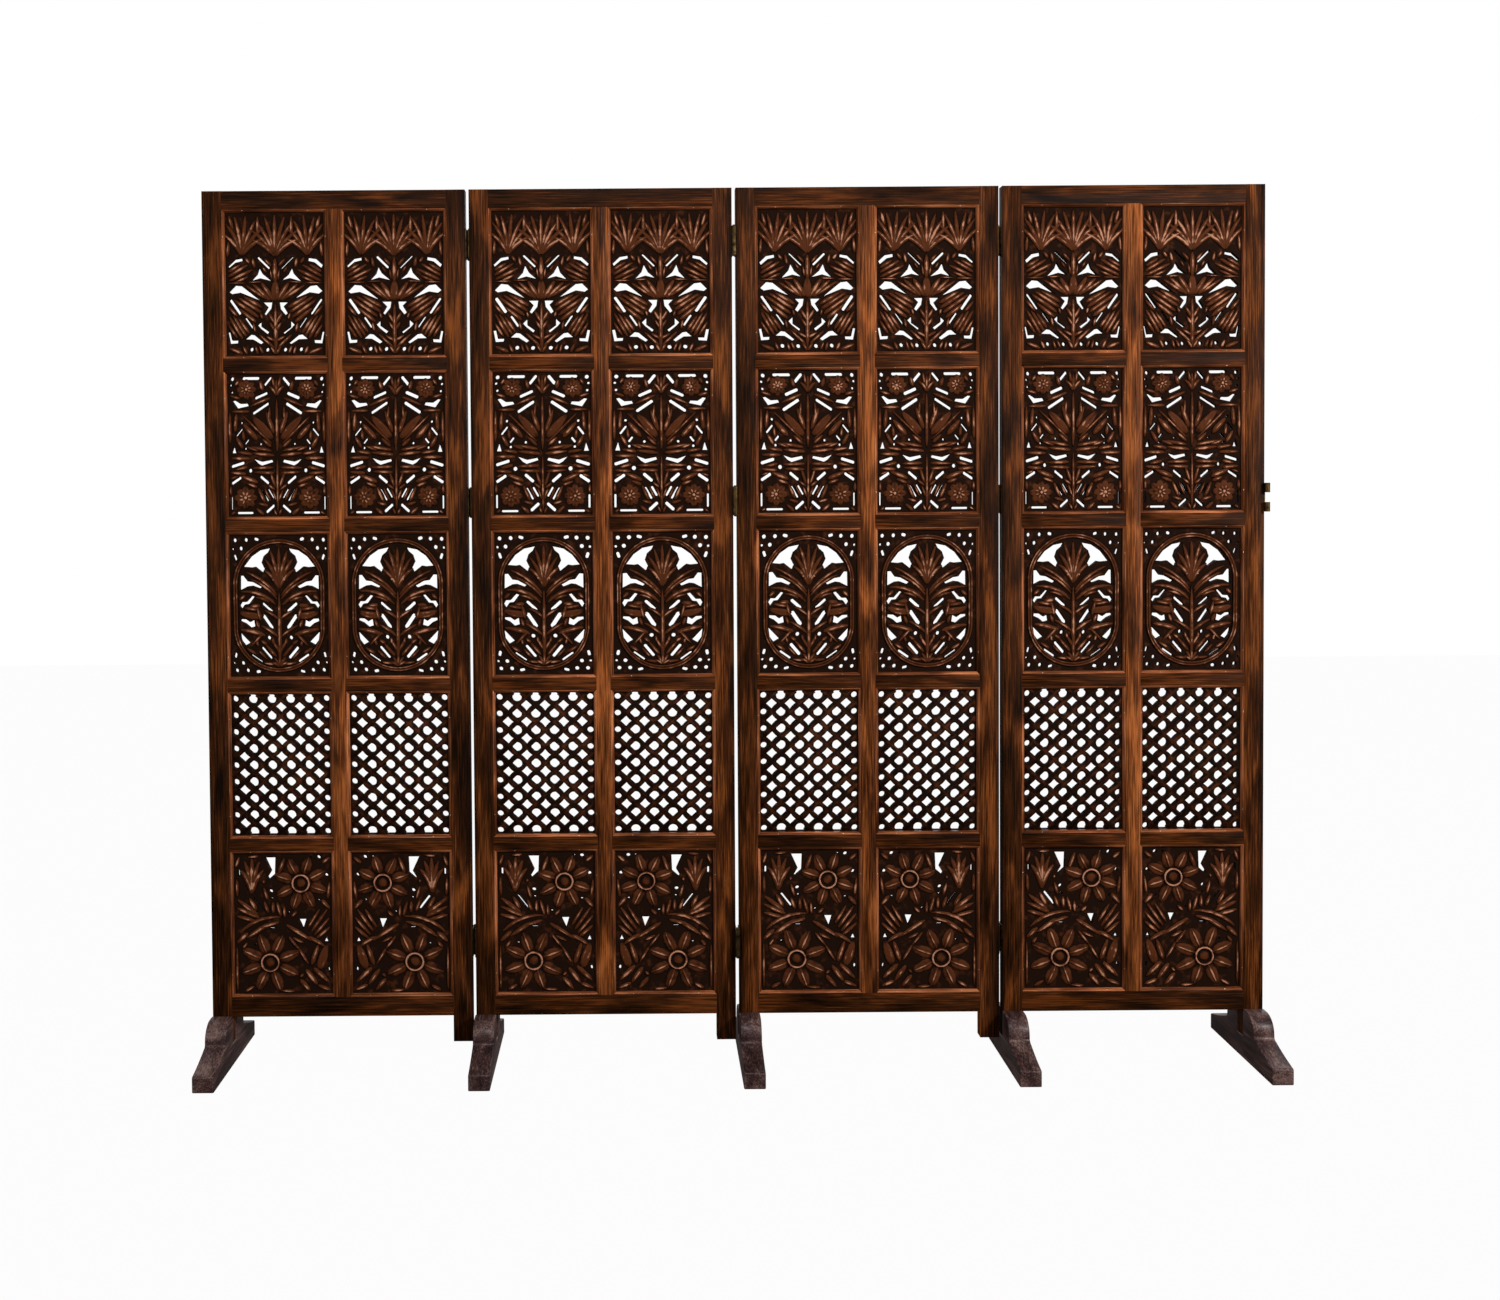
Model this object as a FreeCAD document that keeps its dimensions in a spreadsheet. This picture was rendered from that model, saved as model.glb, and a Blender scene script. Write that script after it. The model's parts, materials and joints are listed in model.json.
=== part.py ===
import FreeCAD, Part

# Carved folding screen: four framed panels of pierced, carved tiles, hinged in a row and
# standing on slotted feet. Millimetres, +X along the row, +Y to the back, +Z up. The origin
# is on the floor, midway along the row and midway through the frames.

import math
import os
import re

from FreeCAD import Placement, Rotation, Vector

panels = 4
rows = 5
columns = 2

driving_sizes = {
    # frame members
    "frame_depth": 26,
    "stile_width": 40,
    "mullion_width": 30,
    "rail_height": 26,
    "top_rail_height": 38,
    "bottom_rail_height": 41,
    "leg_drop": 55,
    "panel_gap": 8,
    # one window of the frame, and what holds its tile
    "cell_width": 218,
    "cell_height": 309,
    "tile_thickness": 12,
    "tile_play": 0.3,
    "lip_width": 6,
    "bead_width": 6,
    "bead_depth": 6,
    "bead_round": 4.5,
    "mitre_gap": 0.1,
    # stub tenons of rails and mullion
    "tenon_length": 12,
    "tenon_thickness": 10,
    "tenon_shoulder": 6,
    "tenon_play": 0.15,
    # openings cut through the tiles
    "slit_width": 4.2,
    "slot_width": 6.4,
    "wide_slot_width": 8.4,
    "small_dot_radius": 2.6,
    "dot_radius": 4.2,
    "lattice_hole_radius": 10.0,
    "lattice_edge_radius": 6.5,
    "lattice_star_reach": 12.9,
    "lattice_star_waist": 5.7,
    # butt hinges
    "hinge_height": 60,
    "hinge_inset": 110,
    "middle_hinge_rise": 45,
    "leaf_thickness": 2,
    "leaf_width": 27,
    "knuckle_radius": 5.5,
    "knuckle_play": 0.2,
    "pin_radius": 2.5,
    "pin_play": 0.05,
    "pin_head_radius": 3.8,
    "pin_head_height": 2.4,
    "screw_radius": 1.7,
    "screw_length": 16,
    "screw_head_radius": 3.5,
    "screw_spacing": 20,
    "screw_play": 0.1,
    # feet
    "foot_lift": 47,
    "foot_width": 44,
    "foot_half_length": 155,
    "foot_slot_play": 0.3,
    "foot_top": 104,
    "toe_height": 34,
    "toe_round": 5,
    "shoulder_reach": 67,
    "shoulder_round": 37,
    "nook_top": 66,
    "nook_reach": 74,
    "nook_height": 58,
    "instep_reach": 110,
    "instep_height": 45,
    # how far cuts run past the face they open
    "overrun": 1,
}

# Openings of the carved tiles. Across is a share of the visible width from the middle line,
# down a share of the visible height from the top. Slots run between two places; loops are
# closed outlines. Designs listed as halves are mirrored about the middle line.
lotus_half_shares = {
    "slot": [(0.455, 0.610, 0.365, 0.700)],
    "slit": [(0.175, 0.310, 0.065, 0.385), (0.305, 0.735, 0.240, 0.800)],
    "dot": [(0.090, 0.955), (0.250, 0.953)],
    "loop": [
        ((0.332, 0.312), (0.410, 0.321), (0.482, 0.368), (0.468, 0.386), (0.400, 0.347), (0.328, 0.335)),
        ((0.490, 0.832), (0.468, 0.914), (0.385, 0.910), (0.380, 0.888), (0.444, 0.889), (0.463, 0.830)),
        ((0.165, 0.378), (0.188, 0.426), (0.258, 0.478), (0.150, 0.456), (0.045, 0.474), (0.125, 0.428)),
        ((0.475, 0.548), (0.410, 0.503), (0.345, 0.508), (0.165, 0.608), (0.350, 0.556), (0.440, 0.566)),
        ((0.130, 0.622), (0.032, 0.622), (0.042, 0.668), (0.098, 0.716), (0.122, 0.702), (0.082, 0.655)),
        ((0.145, 0.752), (0.190, 0.782), (0.160, 0.806), (0.085, 0.848), (0.068, 0.834), (0.145, 0.796)),
        ((0.320, 0.882), (0.262, 0.848), (0.222, 0.852), (0.128, 0.906), (0.152, 0.918), (0.232, 0.884)),
    ],
}
rose_half_shares = {
    "slot": [
        (0.190, 0.028, 0.340, 0.028),
        (0.068, 0.028, 0.122, 0.074),
        (0.110, 0.134, 0.215, 0.166),
        (0.098, 0.208, 0.238, 0.272),
        (0.352, 0.622, 0.462, 0.646),
        (0.385, 0.728, 0.462, 0.764),
        (0.105, 0.762, 0.172, 0.722),
        (0.052, 0.926, 0.115, 0.966),
    ],
    "slit": [
        (0.362, 0.386, 0.412, 0.430),
        (0.096, 0.812, 0.052, 0.866),
        (0.162, 0.818, 0.106, 0.886),
        (0.470, 0.866, 0.470, 0.946),
        (0.262, 0.974, 0.412, 0.974),
        (0.298, 0.462, 0.325, 0.486),
    ],
    "dot": [(0.452, 0.032), (0.280, 0.676)],
    "small_dot": [(0.456, 0.126), (0.362, 0.340), (0.172, 0.490), (0.325, 0.522), (0.468, 0.076)],
    "loop": [
        ((0.455, 0.186), (0.425, 0.182), (0.372, 0.206), (0.298, 0.204), (0.285, 0.222), (0.402, 0.240)),
        ((0.440, 0.494), (0.468, 0.552), (0.418, 0.552)),
        ((0.250, 0.592), (0.205, 0.626), (0.165, 0.642), (0.045, 0.616), (0.055, 0.600), (0.162, 0.614)),
    ],
}
oval_half_shares = {
    "slot": [
        (0.220, 0.034, 0.242, 0.030),
        (0.450, 0.150, 0.440, 0.170),
        (0.165, 0.490, 0.085, 0.540),
        (0.176, 0.802, 0.096, 0.868),
        (0.450, 0.842, 0.456, 0.860),
        (0.214, 0.966, 0.238, 0.970),
    ],
    "wide_slot": [(0.160, 0.578, 0.085, 0.655)],
    "slit": [(0.285, 0.850, 0.190, 0.896)],
    "dot": [(0.448, 0.038), (0.335, 0.036), (0.388, 0.096), (0.112, 0.728),
            (0.442, 0.958), (0.332, 0.958), (0.380, 0.906)],
    "small_dot": [(0.470, 0.100), (0.470, 0.906)],
    "loop": [
        ((0.090, 0.096), (0.200, 0.112), (0.290, 0.156), (0.366, 0.226), (0.286, 0.231), (0.246, 0.226),
         (0.166, 0.270), (0.145, 0.240), (0.176, 0.196), (0.154, 0.150), (0.110, 0.124)),
        ((0.400, 0.290), (0.362, 0.288), (0.320, 0.328), (0.264, 0.334), (0.178, 0.368), (0.198, 0.380),
         (0.276, 0.360), (0.324, 0.364), (0.402, 0.392)),
        ((0.252, 0.436), (0.280, 0.430), (0.338, 0.474), (0.386, 0.474), (0.408, 0.500), (0.386, 0.526),
         (0.352, 0.492), (0.308, 0.488)),
        ((0.398, 0.594), (0.340, 0.596), (0.300, 0.616), (0.258, 0.600), (0.248, 0.646), (0.300, 0.656),
         (0.350, 0.626), (0.402, 0.610)),
        ((0.408, 0.682), (0.396, 0.745), (0.356, 0.782), (0.300, 0.760), (0.350, 0.724)),
    ],
}
daisy_whole_shares = {
    "slit": [
        (-0.288, 0.315, -0.190, 0.402),
        (-0.450, 0.122, -0.450, 0.158),
        (0.455, 0.822, 0.458, 0.842),
        (-0.140, 0.536, -0.098, 0.536),
    ],
    "dot": [(0.365, 0.032), (0.440, 0.158), (-0.126, 0.272)],
    "small_dot": [(0.285, 0.030), (-0.118, 0.322), (0.055, 0.424), (0.362, 0.338),
                  (-0.290, 0.652)],
    "loop": [
        ((-0.188, 0.030), (-0.075, 0.030), (-0.082, 0.148), (-0.148, 0.188), (-0.160, 0.174), (-0.122, 0.130)),
        ((0.148, 0.470), (0.232, 0.470), (0.198, 0.546)),
        ((0.410, 0.640), (0.438, 0.602), (0.462, 0.642)),
    ],
}
# the lattice tile alternates round holes with four-pointed stars, on this grid
lattice_column_share = 0.19
lattice_row_share = 0.118
lattice_first_row_share = 0.031
lattice_edge_column_share = 0.462

doc = FreeCAD.newDocument("CarvedScreen")
sheet = doc.addObject("Spreadsheet::Sheet", "sizes")
for line, (name, value) in enumerate(driving_sizes.items(), 1):
    sheet.set(f"A{line}", name)
    sheet.set(f"B{line}", str(value))
    sheet.setAlias(f"B{line}", name)
doc.recompute()


def size(name):
    return float(sheet.get(name))


def cells(formula):
    return re.sub(r"[a-z][a-z_]+", lambda word: "sizes." + word.group(), formula)


def place(piece, corner):
    for axis, formula in zip("xyz", corner):
        piece.setExpression(f"Placement.Base.{axis}", cells(formula))


def box(name, corner, spans):
    block = doc.addObject("Part::Box", name)
    for side, formula in zip(("Length", "Width", "Height"), spans):
        block.setExpression(side, cells(formula))
    place(block, corner)
    return block


def rod(name, centre, radius, length, turn=None):
    cylinder = doc.addObject("Part::Cylinder", name)
    cylinder.setExpression("Radius", cells(radius))
    cylinder.setExpression("Height", cells(length))
    if turn:
        cylinder.Placement = Placement(Vector(), turn)
    place(cylinder, centre)
    return cylinder


def cone(name, centre, base_radius, tip_radius, length, turn=None):
    taper = doc.addObject("Part::Cone", name)
    taper.setExpression("Radius1", cells(base_radius))
    taper.setExpression("Radius2", cells(tip_radius))
    taper.setExpression("Height", cells(length))
    if turn:
        taper.Placement = Placement(Vector(), turn)
    place(taper, centre)
    return taper


def fused(name, pieces):
    union = doc.addObject("Part::MultiFuse", name)
    union.Shapes = pieces
    union.Refine = True
    return union


def cut(name, base, tools):
    tool = tools[0]
    if len(tools) > 1:
        tool = doc.addObject("Part::MultiFuse", name + "_cutters")
        tool.Shapes = tools
    difference = doc.addObject("Part::Cut", name)
    difference.Base = base
    difference.Tool = tool
    return difference


def body_with_sketch(name, plane_role):
    body = doc.addObject("PartDesign::Body", name)
    body.AllowCompound = True
    return body, sketch_on(body, name + "_outline", plane_role)


def sketch_on(body, name, plane_role):
    sketch = body.newObject("Sketcher::SketchObject", name)
    plane = [item for item in body.Origin.OriginFeatures if item.Role == plane_role][0]
    sketch.AttachmentSupport = (plane, [""])
    sketch.MapMode = "FlatFace"
    return sketch


def draw_loop(sketch, corners):
    for start, end in zip(corners, corners[1:] + corners[:1]):
        sketch.addGeometry(Part.LineSegment(start, end), False)


def draw_rectangle(sketch, half_width, half_height):
    draw_loop(sketch, [
        Vector(-half_width, -half_height, 0),
        Vector(half_width, -half_height, 0),
        Vector(half_width, half_height, 0),
        Vector(-half_width, half_height, 0),
    ])


def draw_slot(sketch, start, end, width):
    along = (end - start).normalize() * (width / 2)
    side = Vector(-along.y, along.x, 0)
    sketch.addGeometry(Part.LineSegment(start + side, end + side), False)
    sketch.addGeometry(Part.Arc(end + side, end + along, end - side), False)
    sketch.addGeometry(Part.LineSegment(end - side, start - side), False)
    sketch.addGeometry(Part.Arc(start - side, start - along, start + side), False)


def draw_dot(sketch, centre, radius):
    sketch.addGeometry(Part.Circle(centre, Vector(0, 0, 1), radius), False)


def draw_star(sketch, centre, reach, waist):
    for quarter in range(4):
        turn = Rotation(Vector(0, 0, 1), 90 * quarter)
        points = [turn.multVec(at) for at in (Vector(reach, 0, 0), Vector(waist, waist, 0), Vector(0, reach, 0))]
        sketch.addGeometry(Part.Arc(*[centre + at for at in points]), False)


def pad(body, sketch, length, midplane=True):
    feature = body.newObject("PartDesign::Pad", sketch.Name + "_pad")
    feature.Profile = sketch
    feature.setExpression("Length", cells(length))
    feature.Midplane = midplane
    return feature


def pocket(body, sketch, length):
    feature = body.newObject("PartDesign::Pocket", sketch.Name + "_pocket")
    feature.Profile = sketch
    feature.setExpression("Length", cells(length))
    feature.Midplane = True
    return feature


# Heights and places along the frame, as formulas of the sizes
leg_base = "(foot_lift + leg_drop)"
windows_base = "(foot_lift + leg_drop + bottom_rail_height)"
windows_span = f"({rows} * cell_height + {rows - 1} * rail_height)"
frame_top = f"({windows_base} + {windows_span} + top_rail_height)"
panel_span = f"(2 * stile_width + {columns - 1} * mullion_width + {columns} * cell_width)"
row_span = f"({panels} * {panel_span} + {panels - 1} * panel_gap)"
front = "(-frame_depth / 2)"
lip_front = "(tile_thickness / 2)"
lip_depth = "(frame_depth / 2 - tile_thickness / 2)"
core_depth = "(frame_depth / 2 + tile_thickness / 2)"
foot_overhang = "((foot_width - stile_width) / 2)"
pin_offset = "(frame_depth / 2 + knuckle_radius)"
# the free hinge knuckles reach past the last panel and the first foot past the first one
centre_shift = f"(({foot_overhang} - panel_gap / 2 - knuckle_radius) / 2)"


def panel_left(panel):
    return f"({panel} * ({panel_span} + panel_gap) - {row_span} / 2 + {centre_shift})"


def cell_left(column):
    return f"(stile_width + {column} * (cell_width + mullion_width))"


def cell_base(level):
    return f"({windows_base} + {level} * (cell_height + rail_height))"


def rail_base(level):
    return f"({cell_base(level)} - rail_height)"


# Hinge heights: near the top, near the bottom and a little over the third cross rail
hinge_heights = [
    f"({windows_base} + hinge_inset)",
    f"({rail_base(3)} + rail_height / 2 + middle_hinge_rise)",
    f"({frame_top} - hinge_inset)",
]
# the free edge keeps one half hinge for a further panel
spare_heights = hinge_heights[1:2]
across = Rotation(Vector(0, 1, 0), 90)


def stile(side):
    left = side == "left"
    core_x = "0" if left else f"({panel_span} - stile_width)"
    lip_x = "stile_width" if left else f"({panel_span} - stile_width - lip_width)"
    mortise_depth = "(tenon_length + tenon_play)"
    mortise_x = f"(stile_width - {mortise_depth})" if left else f"({panel_span} - stile_width - overrun)"
    core = box(side + "_stile_core", (core_x, front, "foot_lift"),
               ("stile_width", "frame_depth", f"{frame_top} - foot_lift"))
    lip = box(side + "_stile_lip", (lip_x, lip_front, windows_base), ("lip_width", lip_depth, windows_span))
    levels = [(leg_base, "bottom_rail_height")]
    levels += [(rail_base(level), "rail_height") for level in range(1, rows)]
    levels += [(f"({windows_base} + {windows_span})", "top_rail_height")]
    mortises = []
    for number, (base, height) in enumerate(levels):
        mortises.append(box(
            f"{side}_mortise_{number}",
            (mortise_x, "-tenon_thickness / 2 - tenon_play", f"{base} + tenon_shoulder - tenon_play"),
            (f"{mortise_depth} + overrun", "tenon_thickness + 2 * tenon_play",
             f"{height} - 2 * tenon_shoulder + 2 * tenon_play"),
        ))
    # the mortises stop at the core's inner face, so the lip stays whole
    mortised = cut(side + "_stile_mortised", core, mortises)
    return fused(side + "_stile", [mortised, lip])


def bored_stile(name, side, plain, heights):
    hole_x = "-overrun" if side == "left" else f"({panel_span} - screw_length)"
    bores = []
    for number, height in enumerate(heights):
        for step in (-1, 0, 1):
            bores.append(rod(f"{name}_pilot_{number}_{step + 1}",
                             (hole_x, "0", f"{height} + {step} * screw_spacing"),
                             "screw_radius + screw_play", "screw_length + overrun", across))
    return cut(name, plain, bores)


def tenon(name, x, height):
    return box(name, (x, "-tenon_thickness / 2", "tenon_shoulder"),
               ("tenon_length", "tenon_thickness", f"{height} - 2 * tenon_shoulder"))


def long_rail(name, height, lip_z):
    # runs from stile to stile, lipped on the side of the windows, mortised for the mullion
    span = f"({panel_span} - 2 * stile_width)"
    core = box(name + "_core", ("0", front, "0"), (span, "frame_depth", height))
    lip = box(name + "_lip", ("lip_width", lip_front, lip_z), (f"{span} - 2 * lip_width", lip_depth, "lip_width"))
    ends = [tenon(name + "_left_tenon", "-tenon_length", height), tenon(name + "_right_tenon", span, height)]
    mortise_z = f"{height} - tenon_length - tenon_play" if name == "bottom_rail" else "-overrun"
    mortise = box(name + "_mortise",
                  (f"{span} / 2 - mullion_width / 2 + tenon_shoulder - tenon_play",
                   "-tenon_thickness / 2 - tenon_play", mortise_z),
                  ("mullion_width - 2 * tenon_shoulder + 2 * tenon_play",
                   "tenon_thickness + 2 * tenon_play", "tenon_length + tenon_play + overrun"))
    return fused(name, [cut(name + "_mortised", core, [mortise]), lip] + ends)


def cross_rail():
    core = box("cross_rail_core", ("0", front, "0"), ("cell_width", core_depth, "rail_height"))
    back = box("cross_rail_back", ("lip_width", lip_front, "-lip_width"),
               ("cell_width - 2 * lip_width", lip_depth, "rail_height + 2 * lip_width"))
    ends = [tenon("cross_left_tenon", "-tenon_length", "rail_height"),
            tenon("cross_right_tenon", "cell_width", "rail_height")]
    return fused("cross_rail", [core, back] + ends)


def mullion():
    core = box("mullion_core", ("0", front, "0"), ("mullion_width", "frame_depth", windows_span))
    lips = box("mullion_lips", ("-lip_width", lip_front, "lip_width"),
               ("mullion_width + 2 * lip_width", lip_depth, f"{windows_span} - 2 * lip_width"))
    ends = [box("mullion_" + end, ("tenon_shoulder", "-tenon_thickness / 2", base),
                ("mullion_width - 2 * tenon_shoulder", "tenon_thickness", "tenon_length"))
            for end, base in (("foot", "-tenon_length"), ("head", windows_span))]
    mortises = []
    for level in range(1, rows):
        base = f"{level} * cell_height + {level - 1} * rail_height + tenon_shoulder - tenon_play"
        for side, x in (("left", "-overrun"), ("right", "mullion_width - tenon_length - tenon_play")):
            mortises.append(box(f"mullion_{side}_mortise_{level}",
                                (x, "-tenon_thickness / 2 - tenon_play", base),
                                ("tenon_length + tenon_play + overrun", "tenon_thickness + 2 * tenon_play",
                                 "rail_height - 2 * tenon_shoulder + 2 * tenon_play")))
    # rebated at both ends over the lips of the long rails
    rebates = [box("mullion_rebate_" + end, ("-overrun", lip_front, base),
                   ("mullion_width + 2 * overrun", lip_depth + " + overrun", "lip_width + overrun"))
               for end, base in (("foot", "-overrun"), ("head", f"{windows_span} - lip_width"))]
    return fused("mullion", [cut("mullion_mortised", core, mortises + rebates), lips] + ends)


def tile_outline(name):
    body, sketch = body_with_sketch(name, "XZ_Plane")
    draw_rectangle(sketch, size("cell_width") / 2 - size("tile_play"), size("cell_height") / 2 - size("tile_play"))
    return body, sketch


def in_view(across_share, down_share):
    # from shares of the visible part of a tile to its own millimetres
    visible_width = size("cell_width") - 2 * size("lip_width")
    visible_height = size("cell_height") - 2 * size("lip_width")
    return Vector(across_share * visible_width, (0.5 - down_share) * visible_height, 0)


def carved_tile(name, shares, sides):
    body, sketch = tile_outline(name)
    for kind in ("slit", "slot", "wide_slot"):
        for u_start, v_start, u_end, v_end in shares.get(kind, []):
            for side in sides:
                draw_slot(sketch, in_view(side * u_start, v_start), in_view(side * u_end, v_end),
                          size(kind + "_width"))
    for kind in ("dot", "small_dot"):
        for u, v in shares.get(kind, []):
            for side in sides:
                draw_dot(sketch, in_view(side * u, v), size(kind + "_radius"))
    for corners in shares["loop"]:
        for side in sides:
            draw_loop(sketch, [in_view(side * u, v) for u, v in corners])
    pad(body, sketch, "tile_thickness")
    return body


def lattice_tile():
    body, sketch = tile_outline("lattice_tile")
    hole_rows = int((1 - lattice_first_row_share) / lattice_row_share) + 1
    for line in range(hole_rows):
        v = lattice_first_row_share + line * lattice_row_share
        for side in (-1, 1):
            draw_dot(sketch, in_view(side * lattice_edge_column_share, v), size("lattice_edge_radius"))
            for step in (0.5, 1.5):
                draw_dot(sketch, in_view(side * step * lattice_column_share, v), size("lattice_hole_radius"))
    for line in range(hole_rows - 1):
        v = lattice_first_row_share + (line + 0.5) * lattice_row_share
        for step in range(-2, 3):
            draw_star(sketch, in_view(step * lattice_column_share, v),
                      size("lattice_star_reach"), size("lattice_star_waist"))
    pad(body, sketch, "tile_thickness")
    return body


def bead_set():
    # four mitred strips round one window; the inner front arris is rounded over
    body, sketch = body_with_sketch("bead_set", "XZ_Plane")
    half_width = size("cell_width") / 2
    half_height = size("cell_height") / 2
    draw_rectangle(sketch, half_width, half_height)
    draw_rectangle(sketch, half_width - size("bead_width"), half_height - size("bead_width"))
    ring = pad(body, sketch, "bead_depth")
    doc.recompute()
    inner = []
    for number, edge in enumerate(ring.Shape.Edges, 1):
        middle = edge.BoundBox.Center
        in_front = abs(middle.y + size("bead_depth") / 2) < size("mitre_gap")
        inside = abs(middle.x) < half_width - size("bead_width") / 2
        inside = inside and abs(middle.z) < half_height - size("bead_width") / 2
        if in_front and inside:
            inner.append(f"Edge{number}")
    rounding = body.newObject("PartDesign::Fillet", "bead_rounding")
    rounding.Base = (ring, inner)
    rounding.setExpression("Radius", cells("bead_round"))
    doc.recompute()
    slits = sketch_on(body, "mitres", "XZ_Plane")
    reach = size("overrun")
    inward = size("bead_width") + reach
    gap = size("mitre_gap") / 2
    for x_side in (-1, 1):
        for z_side in (-1, 1):
            outer = Vector(x_side * (half_width + reach), z_side * (half_height + reach), 0)
            inner_end = Vector(x_side * (half_width - inward), z_side * (half_height - inward), 0)
            aside = Vector(x_side * gap, -z_side * gap, 0)
            draw_loop(slits, [outer + aside, inner_end + aside, inner_end - aside, outer - aside])
    pocket(body, slits, "bead_depth + 2 * overrun")
    return body


def knuckle(name, base, length):
    return rod(name, ("0", "0", base), "knuckle_radius", length)


def hinge_leaf(name, side, knuckles, notches):
    # pin on the leaf's own Z axis; the leaf lies on the stile's edge, in front of the pin
    plate_x = "-panel_gap / 2" if side == "left" else "panel_gap / 2 - leaf_thickness"
    plate = box(name + "_plate", (plate_x, "-leaf_width", "-hinge_height / 2"),
                ("leaf_thickness", "leaf_width", "hinge_height"))
    barrels = [knuckle(f"{name}_knuckle_{number}", base, length) for number, (base, length) in enumerate(knuckles)]
    bore = rod(name + "_bore", ("0", "0", "-hinge_height / 2 - overrun"), "pin_radius + pin_play",
               "hinge_height + 2 * overrun")
    cutters = [bore]
    for number, (base, length) in enumerate(notches):
        cutters.append(box(f"{name}_notch_{number}", ("-panel_gap", "-knuckle_radius - knuckle_play", base),
                           ("2 * panel_gap", "2 * knuckle_radius", length)))
    # countersinks open on the side that faces the other leaf
    narrow, wide = "screw_radius + screw_play", "screw_head_radius + screw_play"
    ends = (narrow, wide) if side == "left" else (wide, narrow)
    for step in (-1, 0, 1):
        cutters.append(cone(f"{name}_countersink_{step + 1}",
                            (plate_x, f"-{pin_offset}", f"{step} * screw_spacing"), *ends, "leaf_thickness", across))
    return cut(name, fused(name + "_blank", [plate] + barrels), cutters)


def hinge_pin():
    shank = rod("pin_shank", ("0", "0", "-hinge_height / 2 - pin_head_height / 2"), "pin_radius",
                "hinge_height + pin_head_height")
    upper = cone("pin_upper_head", ("0", "0", "hinge_height / 2"), "pin_head_radius", "pin_radius",
                 "pin_head_height")
    lower = cone("pin_lower_head", ("0", "0", "-hinge_height / 2 - pin_head_height"), "pin_radius",
                 "pin_head_radius", "pin_head_height")
    return fused("hinge_pin", [shank, upper, lower])


def screw():
    # lies along +X, its head flush with the origin
    head = cone("screw_head", ("0", "0", "0"), "screw_head_radius", "screw_radius", "leaf_thickness", across)
    shank = rod("screw_shank", ("0", "0", "0"), "screw_radius", "screw_length", across)
    return fused("screw", [head, shank])


def foot():
    body, sketch = body_with_sketch("foot", "YZ_Plane")
    reach, toe, toe_round = size("foot_half_length"), size("toe_height"), size("toe_round")
    shoulder, top, curve = size("shoulder_reach"), size("foot_top"), size("shoulder_round")
    slot = size("frame_depth") / 2 + size("foot_slot_play")
    corner = math.sqrt(0.5)
    for side in (-1, 1):
        def at(y, z):
            return Vector(side * y, z, 0)
        nook = at(size("nook_reach"), size("nook_height"))
        nook_end = at(shoulder, size("nook_top"))
        # the nook bows towards the leg, the instep sags between nook and toe
        nook_middle = at(shoulder + (size("nook_reach") - shoulder) * (1 - corner),
                         size("nook_height") + (size("nook_top") - size("nook_height")) * (1 - corner))
        instep = at(size("instep_reach"), size("instep_height"))
        toe_inner = at(reach - toe_round, toe)
        sketch.addGeometry(Part.LineSegment(at(0, 0), at(reach, 0)), False)
        sketch.addGeometry(Part.LineSegment(at(reach, 0), at(reach, toe - toe_round)), False)
        sketch.addGeometry(Part.Arc(at(reach, toe - toe_round),
                                    at(reach - toe_round * (1 - corner), toe - toe_round * (1 - corner)),
                                    toe_inner), False)
        sketch.addGeometry(Part.Arc(toe_inner, instep, nook), False)
        sketch.addGeometry(Part.Arc(nook, nook_middle, nook_end), False)
        sketch.addGeometry(Part.LineSegment(nook_end, at(shoulder, top - curve)), False)
        sketch.addGeometry(Part.Arc(at(shoulder, top - curve),
                                    at(shoulder - curve * (1 - corner), top - curve * (1 - corner)),
                                    at(shoulder - curve, top)), False)
        sketch.addGeometry(Part.LineSegment(at(shoulder - curve, top), at(slot, top)), False)
        sketch.addGeometry(Part.LineSegment(at(slot, top), at(slot, size("foot_lift"))), False)
        sketch.addGeometry(Part.LineSegment(at(slot, size("foot_lift")), at(0, size("foot_lift"))), False)
    pad(body, sketch, "foot_width")
    return body


def node(label, copies, panel):
    # one sub-part: copies of its patterns at their places in the panel, set at the panel's place
    links = []
    for number, (pattern, corner, turn) in enumerate(copies):
        link = doc.addObject("App::Link", f"{label}_{number}")
        link.LinkedObject = pattern
        if turn:
            link.Placement = Placement(Vector(), turn)
        place(link, corner)
        links.append(link)
    group = doc.addObject("Part::Compound", label)
    group.Label = label
    group.Links = links
    place(group, (panel_left(panel), "0", "0"))
    return group


# One pattern of each different piece
left_stile = stile("left")
right_stile = stile("right")
left_stile_bored = bored_stile("left_stile_bored", "left", left_stile, hinge_heights)
right_stile_bored = bored_stile("right_stile_bored", "right", right_stile, hinge_heights)
end_stile_bored = bored_stile("end_stile_bored", "right", right_stile, spare_heights)
bottom_rail = long_rail("bottom_rail", "bottom_rail_height", "bottom_rail_height")
top_rail = long_rail("top_rail", "top_rail_height", "-lip_width")
short_rail = cross_rail()
middle_bar = mullion()
beads = bead_set()
both_sides = (-1, 1)
lotus_tile = carved_tile("lotus_tile", lotus_half_shares, both_sides)
rose_tile = carved_tile("rose_tile", rose_half_shares, both_sides)
oval_tile = carved_tile("oval_tile", oval_half_shares, both_sides)
open_tile = lattice_tile()
daisy_tile = carved_tile("daisy_tile", daisy_whole_shares, (1,))
facing_daisy_tile = carved_tile("facing_daisy_tile", daisy_whole_shares, (-1,))
tile_rows = [(lotus_tile, lotus_tile), (rose_tile, rose_tile), (oval_tile, oval_tile),
             (open_tile, open_tile), (daisy_tile, facing_daisy_tile)]

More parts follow.
